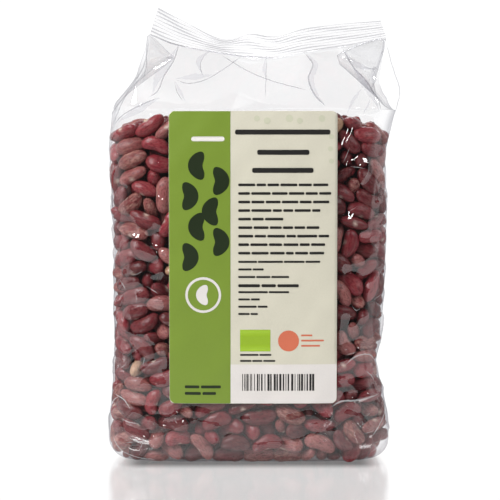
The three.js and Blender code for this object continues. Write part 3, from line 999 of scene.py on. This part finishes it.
def build_seal():
    """Both layers of film pressed into one ribbed strip."""
    share = np.linspace(0, 1, SEAL_COLUMNS)
    up = np.linspace(-0.02, 1, SEAL_RIBS * RIB_ROWS + 1)[:, None] + 0 * share
    ribs = RIB_HEIGHT * np.clip(1 - np.abs((up * SEAL_RIBS) % 1 - 0.5) / RIB_WIDTH, 0, 1)
    front = seal_point(share, up, ribs + SEAL_HALF_THICKNESS)
    back = seal_point(share, up, ribs - SEAL_HALF_THICKNESS)
    loop = np.concatenate([back, front[::-1]])
    faces = grid_faces(len(loop), len(share))
    material = clear_film_material("seal", 0.03, 0.03, 0.03, 0.4)
    dress(make_object("seal", loop, faces, material), "bag")


# Label and its print

RING = (-24.0, 89.5)  # its middle
CODE_STEP = 0.36  # the bar code's narrowest bar

# Beans on end in columns: x and z of the first, how many, and how far they swing and bend
BEAN_COLUMNS = ((-29.0, 155.8, 4, 2.4, 2.4), (-17.6, 148.0, 3, 2.0, -2.4))

# Rows of bars: left and right end, height on the label, height of the bars and how many
WIDE_ROWS = ((-7.6, 41.0, 172.9, 2.5, 1), (3.7, 30.3, 162.6, 2.5, 1), (1.1, 32.4, 153.4, 2.5, 1))

# Blocks of such rows: height of the first, step to the next and height of the bars, then each row's
# right end and how many bars it has
BLOCKS = (
    (146.0, 4.37, 1.3, ((40, 6), (41.5, 6), (40.5, 6), (36, 6), (17, 3))),
    (124.15, 4.37, 1.3, ((35.5, 6), (40.5, 6), (38.5, 6), (38, 6))),
    (106.6, 3.9, 1.0, ((36, 4), (7, 2), (20, 3))),
    (94.3, 0.0, 1.5, ((25, 3),)),
    (91.0, 3.75, 1.0, ((20, 2), (5, 2), (9, 2), (4, 2))),
)


def rounded_heights(low, high, corner, turns, steps):
    """Heights from low to high that follow a rounded corner at both ends."""
    turn = corner * (1 - np.cos(np.linspace(0, math.pi / 2, turns)))
    middle = np.linspace(low + corner, high - corner, steps)
    return np.concatenate([low + turn[:-1], middle, high - turn[-2::-1]])


def corner_cut(z, low, high, corner):
    """How far the rounded corners cut into the ends at heights z."""
    over = np.clip(corner - np.minimum(z - low, high - z), 0, corner)
    return corner - np.sqrt(np.maximum(corner**2 - over**2, 0))


def label_width_at(z):
    cut = corner_cut(z, LABEL_BOTTOM, LABEL_TOP, LABEL_CORNER)
    return LABEL_LEFT + cut, LABEL_RIGHT - cut


def build_label():
    z = rounded_heights(LABEL_BOTTOM, LABEL_TOP, LABEL_CORNER, 7, 90)
    left, right = label_width_at(z)
    share = np.linspace(0, 1, 52)
    x = left[:, None] + (right - left)[:, None] * share[None]
    height = z[:, None] + 0 * x
    front = on_label(x, height, 0)
    back = on_label(x, height, -LABEL_THICKNESS)
    rows, columns = x.shape
    sheet = grid_faces(rows, columns)
    count = rows * columns
    order = np.arange(count).reshape(rows, columns)
    rim = np.concatenate([order[0], order[1:, -1], order[-1, -2::-1], order[-2:0:-1, 0]])
    after = np.roll(rim, -1)
    edge = np.stack([rim, rim + count, after + count, after], axis=-1)
    faces = np.concatenate([sheet, sheet[:, ::-1] + count, edge])
    dress(make_object("label_paper", [front, back], faces, paper_material("label_paper", CREAM)), "label")


def on_label(x, z, proud):
    """Points on the label's face, which is very slightly uneven over the beans."""
    swell = 0.09 * np.sin(0.23 * x + 0.6) * np.sin(0.19 * z) + 0.06 * np.sin(0.41 * x - 0.33 * z)
    return front_point(x, z, LABEL_OUTSET + proud + swell)


def bar(left, right, low, high, corner=0.0):
    """A patch with rounded corners: its heights and its left and right ends at each."""
    corner = min(corner, (high - low) / 2, (right - left) / 2)
    z = rounded_heights(low, high, corner, 4, max(2, int((high - low - 2 * corner) / 3) + 1))
    cut = corner_cut(z, low, high, corner)
    return z, left + cut, right - cut


def disc(x, z, radius):
    angle = np.linspace(-math.pi / 2, math.pi / 2, 17)
    return z + radius * np.sin(angle), x - radius * np.cos(angle), x + radius * np.cos(angle)


def bean_print(x, z, length, width, bend):
    """The outline of a bean that stands on end."""
    t = -np.cos(np.linspace(0, math.pi, 21))
    half = width / 2 * (1 - np.abs(t) ** 2.3) ** 0.5
    middle = x + bend * (t**2 - 0.4)
    notch = -0.35 * bend * np.exp(-((t / 0.32) ** 2))
    left = middle - half + (notch if bend < 0 else 0)
    right = middle + half + (notch if bend > 0 else 0)
    return z + length / 2 * t, left, right


def build_print(name, colour, patches, layer=1):
    """Ink fields on the label, all of one colour. A second layer lies on the first."""
    parts = []
    for z, left, right in patches:
        columns = max(2, int((right - left).max() / 3) + 1)
        x = left[:, None] + (right - left)[:, None] * np.linspace(0, 1, columns)[None]
        spot = on_label(x, z[:, None] + 0 * x, layer * INK_LIFT).reshape(-1, 3)
        parts.append((spot, grid_faces(len(z), columns)))
    dress(make_object(name, *joined(parts), paper_material(name, colour)), "label")


def word_bars(left, right, z, height, words):
    """A row of bars with small gaps, as long as words are."""
    lengths = rng.uniform(0.6, 1.6, words)
    gap = 0.55 * height
    lengths *= (right - left - gap * (words - 1)) / lengths.sum()
    bars = []
    for length in lengths:
        bars.append(bar(left, left + length, z - height / 2, z + height / 2, 0.35 * height))
        left += length + gap
    return bars


def build_prints():
    z = np.linspace(LABEL_BOTTOM + 0.1, LABEL_TOP - 0.1, 90)
    left, right = label_width_at(z)
    build_print("print_green", GREEN, [(z, left + 0.1, np.full(z.shape, BAND_EDGE))])
    low = z < STRIP_TOP
    build_print("print_white", WHITE, [(z[low], np.full(low.sum(), BAND_EDGE), right[low] - 0.1)])
    build_print("print_pale", WHITE, [bar(-30.0, -13.0, 168.2, 170.6, 1.2), disc(*RING, 9.2)], layer=2)
    dots = [disc(41.6 - 0.5 * (k % 2), 170.5 - 6.2 * k, 1.3) for k in range(3)]
    for k in range(5):
        dots.append(disc(2.0 + 8.3 * k + 1.5 * (-1) ** k, 179.8 - 1.1 * (k % 2), 1.5 + 0.2 * (k % 3)))
    build_print("print_faint", FAINT, dots)
    column = []
    for x, up, count, swing, bend in BEAN_COLUMNS:
        for k in range(count):
            turned = (-1) ** k
            column.append(bean_print(x + swing * turned, up - 15.6 * k, 14.4, 8.2, bend * turned))
    small = word_bars(-33.6, -15.0, 42.0, 1.5, 2) + word_bars(-33.6, -17.5, 38.6, 1.5, 2)
    build_print("print_dark_green", DARK_GREEN, column + small, layer=2)
    build_print("print_ring_inside", GREEN, [disc(*RING, 7.9)], layer=3)
    build_print("print_ring_bean", WHITE, [bean_print(*RING, 10.4, 6.0, 1.7)], layer=4)

    lines = []
    for left, right, up, height, words in WIDE_ROWS:
        lines += word_bars(left, right, up, height, words)
    for up, step, height, ends in BLOCKS:
        for k, (right, words) in enumerate(ends):
            lines += word_bars(-6.0, right, up - step * k, height, words)
    lines += word_bars(-5.1, 11.0, 58.6, 0.9, 2) + word_bars(-5.1, 13.0, 55.5, 0.9, 3)
    at = -4.0
    while at < 33.0:
        thick = CODE_STEP * rng.integers(1, 4)
        lines.append(bar(at, at + thick, 40.0, 48.7))
        at += thick + CODE_STEP * rng.integers(1, 4)
    build_print("print_black", BLACK, lines, layer=2)
    build_print("print_leaf_green", LEAF_GREEN, [bar(-5.1, 10.5, 60.4, 71.6)])
    ends = enumerate((32.0, 38.0, 36.0))
    stripes = [bar(26.3, right, 68.2 - 2.7 * k, 69.1 - 2.7 * k, 0.3) for k, right in ends]
    build_print("print_orange", ORANGE, [disc(19.8, 65.8, 5.4), *stripes])


# Stage

def floor_material():
    """A glossy white table that melts into the white behind it, with a soft shade under the bag."""
    material, tree = new_material("floor")
    split = add_node(tree, "ShaderNodeSeparateXYZ", Vector=object_place(tree))
    squares = []
    for axis, half in zip("XY", SHADED_HALF):
        past = add_math(tree, "SUBTRACT", add_math(tree, "ABSOLUTE", split.outputs[axis]), half * MM)
        past = add_math(tree, "MAXIMUM", past, 0.0)
        squares.append(add_math(tree, "MULTIPLY", past, past))
    past = add_math(tree, "SQRT", add_math(tree, "ADD", *squares))
    shade = add_ramp(tree, past, 0.0, SHADE_REACH, SHADE_GLOW, FLOOR_GLOW, MM, "SMOOTHSTEP")
    rear = add_ramp(tree, split.outputs["Y"], *REAR_FLOOR, 1.0, 0.0, MM)
    seen = add_node(tree, "ShaderNodeLightPath").outputs["Is Camera Ray"]
    bright = add_math(tree, "MAXIMUM", add_math(tree, "MAXIMUM", rear, REAR_GLOW), seen)
    bright = add_math(tree, "MULTIPLY", bright, shade)
    glow = add_node(tree, "ShaderNodeEmission", Color=(1.0, 1.0, 1.0, 1), Strength=bright)
    gloss = add_node(tree, "ShaderNodeBsdfGlossy", Color=FLOOR_TINT, Roughness=FLOOR_ROUGHNESS)
    glossy = add_ramp(tree, past, *GLOSS_REACH, FLOOR_GLOSS, 0.0, MM, "SMOOTHSTEP")
    aside = add_math(tree, "ABSOLUTE", split.outputs["X"])
    beside = add_ramp(tree, aside, *GLOSS_HALF, 1.0, 0.0, MM, "SMOOTHSTEP")
    glossy = add_math(tree, "MULTIPLY", add_math(tree, "MULTIPLY", glossy, rear), beside)
    finish_material(tree, mix_shaders(tree, glossy, glow, gloss))
    return material


def build_floor():
    across = (-FLOOR_HALF_WIDTH, FLOOR_HALF_WIDTH)
    corners = [[x, y, 0.0] for y in (FLOOR_FRONT, FLOOR_BACK) for x in across]
    floor = make_object("floor", corners, [[0, 1, 3, 2]], floor_material())
    floor.location.z = -FLOOR_DROP * MM


def build_room():
    """White behind and beside the bag, dark in front and above but for the upper left.

    The camera itself sees white all round.
    """
    world = bpy.data.worlds.new("studio")
    bpy.context.scene.world = world
    world.use_nodes = True
    tree = world.node_tree
    tree.nodes.clear()
    way = add_node(tree, "ShaderNodeTexCoord").outputs["Generated"]
    x, y, z = add_node(tree, "ShaderNodeSeparateXYZ", Vector=way).outputs
    low = add_ramp(tree, z, 0.35, 0.75, 1.0, 0.25)
    high = add_ramp(tree, z, 0.6, 0.75, 0.0, 0.8)
    behind = add_math(tree, "MULTIPLY", add_ramp(tree, y, -0.55, -0.05, 0.0, 1.0), low)
    left = add_math(tree, "MULTIPLY", add_ramp(tree, x, 0.12, -0.12, 0.0, 1.0), high)
    seen = add_node(tree, "ShaderNodeLightPath").outputs["Is Camera Ray"]
    white = add_math(tree, "MAXIMUM", add_math(tree, "MAXIMUM", behind, left), seen)
    light = add_node(tree, "ShaderNodeBackground", Color=add_mix(tree, white, ROOM_DARK, ROOM_WHITE))
    output = tree.nodes.new("ShaderNodeOutputWorld")
    tree.links.new(light.outputs[0], output.inputs["Surface"])


def build_lamps():
    for name, place, size, power in LAMPS:
        lamp = bpy.data.lights.new(name, "AREA")
        lamp.shape = "RECTANGLE"
        lamp.size = size[0] * MM
        lamp.size_y = size[1] * MM
        lamp.energy = power
        shown = bpy.data.objects.new(name, lamp)
        shown.location = [v * MM for v in place]
        way = Vector([v * MM for v in LAMP_AIM]) - shown.location
        shown.rotation_euler = way.to_track_quat("-Z", "Y").to_euler()
        bpy.context.scene.collection.objects.link(shown)


def place_camera():
    lens = bpy.data.cameras.new("camera")
    lens.sensor_width = SENSOR
    lens.lens = SENSOR * CAMERA_DISTANCE / MM_PER_PIXEL / FRAME_PIXELS
    lens.clip_start = 0.01
    camera = bpy.data.objects.new("camera", lens)
    tilt = math.radians(CAMERA_ELEVATION)
    aim = np.array(CAMERA_AIM) - MIDDLE
    place = aim + CAMERA_DISTANCE * np.array([0, -math.cos(tilt), math.sin(tilt)])
    camera.location = place * MM
    camera.rotation_euler = (math.pi / 2 - tilt, 0, 0)
    bpy.context.scene.collection.objects.link(camera)
    bpy.context.scene.camera = camera
    bpy.context.scene.view_settings.view_transform = "Standard"


place_camera()
build_floor()
build_room()
build_lamps()
build_core()
bean_points = build_beans()
film_material = clear_film_material("film", 0.085, 0.002, 0.025, 0.035)
build_creases(build_body_film(bean_points, film_material))
build_folds(build_empty_film(film_material))
build_seal()
build_label()
build_prints()
